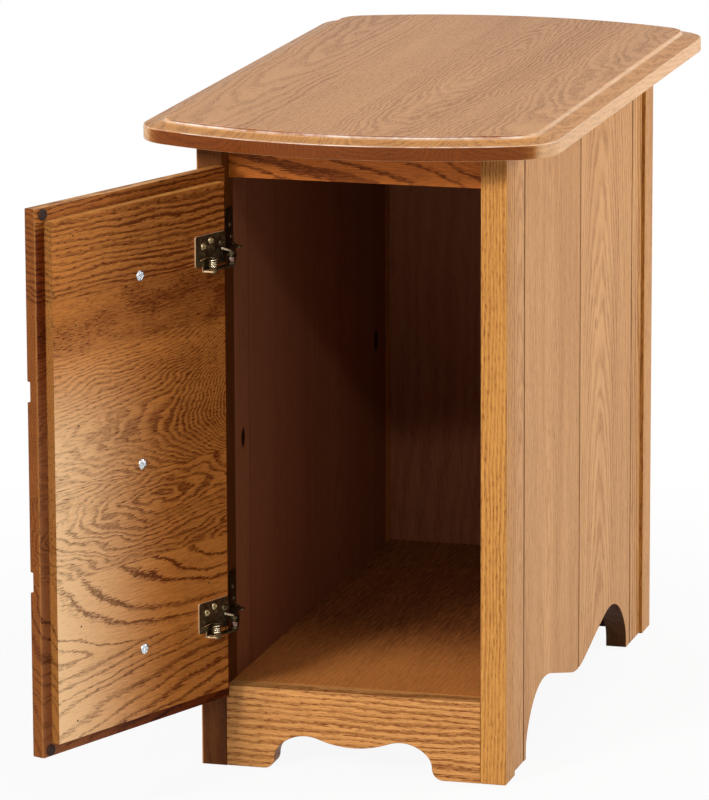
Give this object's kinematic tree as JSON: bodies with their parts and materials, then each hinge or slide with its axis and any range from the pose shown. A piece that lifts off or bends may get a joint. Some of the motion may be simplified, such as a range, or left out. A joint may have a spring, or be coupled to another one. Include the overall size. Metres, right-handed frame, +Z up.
{
  "type": "side table with door",
  "caption": "Narrow oak side table: bow-ended moulded top, boarded sides on scalloped feet, and a lipped door dressed as a stack of drawers that swings on link hinges.",
  "frame": {"origin": "on the floor, in the middle of the front of the cabinet carcass, in the plane of the front posts' faces", "axes": "+X to the right across the front, +Y from the front to the back, +Z up"},
  "size_m": [0.3873, 0.8457, 0.561],
  "materials": {
    "oak_top": "clear satin lacquer",
    "oak_side": "clear satin lacquer",
    "oak_frame": "clear satin lacquer",
    "oak_inside": "clear satin lacquer",
    "oak_door": "clear satin lacquer",
    "oak_knob": "clear satin lacquer",
    "hinge_plate": "dark antique plating",
    "brass_screw": "worn plating",
    "spring_wire": "bright wire",
    "zinc_screw": "bright zinc",
    "bumper_rubber": "soft brown rubber"
  },
  "bodies": {
    "cabinet": {"back_panel": "oak_side", "cabinet_floor": "oak_inside", "floor_block_front_left": "oak_inside", "floor_block_front_right": "oak_inside", "floor_block_rear_left": "oak_inside", "floor_block_rear_right": "oak_inside", "front_apron": "oak_frame", "front_post_left": "oak_frame", "front_post_right": "oak_frame", "front_top_rail": "oak_frame", "hinge_anchor_pin_lower": "hinge_plate", "hinge_anchor_pin_upper": "hinge_plate", "hinge_bracket_lower": "hinge_plate", "hinge_bracket_screws_lower": "brass_screw", "hinge_bracket_screws_upper": "brass_screw", "hinge_bracket_upper": "hinge_plate", "rear_post_left": "oak_frame", "rear_post_right": "oak_frame", "side_board_left_1": "oak_side", "side_board_left_2": "oak_side", "side_board_left_3": "oak_side", "side_board_left_4": "oak_side", "side_board_right_1": "oak_side", "side_board_right_2": "oak_side", "side_board_right_3": "oak_side", "side_board_right_4": "oak_side", "table_top": "oak_top", "top_cleat_left": "oak_inside", "top_cleat_right": "oak_inside", "top_cleat_screws": "zinc_screw"},
    "door": {"door_bumpers": "bumper_rubber", "door_panel": "oak_door", "hinge_door_plate_lower": "hinge_plate", "hinge_door_plate_upper": "hinge_plate", "hinge_door_screws_lower": "brass_screw", "hinge_door_screws_upper": "brass_screw", "hinge_spring_lower": "spring_wire", "hinge_spring_post_lower": "hinge_plate", "hinge_spring_post_upper": "hinge_plate", "hinge_spring_upper": "spring_wire", "knob_bottom": "oak_knob", "knob_middle": "oak_knob", "knob_screws": "zinc_screw", "knob_top": "oak_knob"},
    "hinge_arm_lower": {"hinge_arm_lower": "hinge_plate", "hinge_elbow_rivet_lower": "hinge_plate"},
    "hinge_arm_upper": {"hinge_arm_upper": "hinge_plate", "hinge_elbow_rivet_upper": "hinge_plate"},
    "hinge_link_lower": {"hinge_link_lower": "hinge_plate", "hinge_spring_hook_lower": "spring_wire"},
    "hinge_link_upper": {"hinge_link_upper": "hinge_plate", "hinge_spring_hook_upper": "spring_wire"}
  },
  "joints": [
    {"name": "door_swing", "type": "hinge", "parent": "cabinet", "child": "door", "pos_m": [-0.11574, -0.00988, 0.2929], "axis": [0, 0, 1], "range_deg": [0, 112.13]},
    {"name": "hinge_arm_lower_turn", "type": "hinge", "parent": "cabinet", "child": "hinge_arm_lower", "pos_m": [-0.1062, 0.011, 0.132], "axis": [0, 0, 1], "range_deg": [0, 112.13]},
    {"name": "hinge_link_lower_turn", "type": "hinge", "parent": "door", "child": "hinge_link_lower", "pos_m": [-0.10635, -0.04462, 0.127], "axis": [0, 0, 1], "range_deg": [-112.13, 0]},
    {"name": "hinge_arm_upper_turn", "type": "hinge", "parent": "cabinet", "child": "hinge_arm_upper", "pos_m": [-0.1062, 0.011, 0.446], "axis": [0, 0, 1], "range_deg": [0, 112.13]},
    {"name": "hinge_link_upper_turn", "type": "hinge", "parent": "door", "child": "hinge_link_upper", "pos_m": [-0.10635, -0.04462, 0.441], "axis": [0, 0, 1], "range_deg": [-112.13, 0]}
  ],
  "couplings": [
    {"joint": "hinge_arm_lower_turn", "follows": "door_swing", "ratio": 1},
    {"joint": "hinge_link_lower_turn", "follows": "door_swing", "ratio": -1},
    {"joint": "hinge_arm_upper_turn", "follows": "door_swing", "ratio": 1},
    {"joint": "hinge_link_upper_turn", "follows": "door_swing", "ratio": -1}
  ]
}
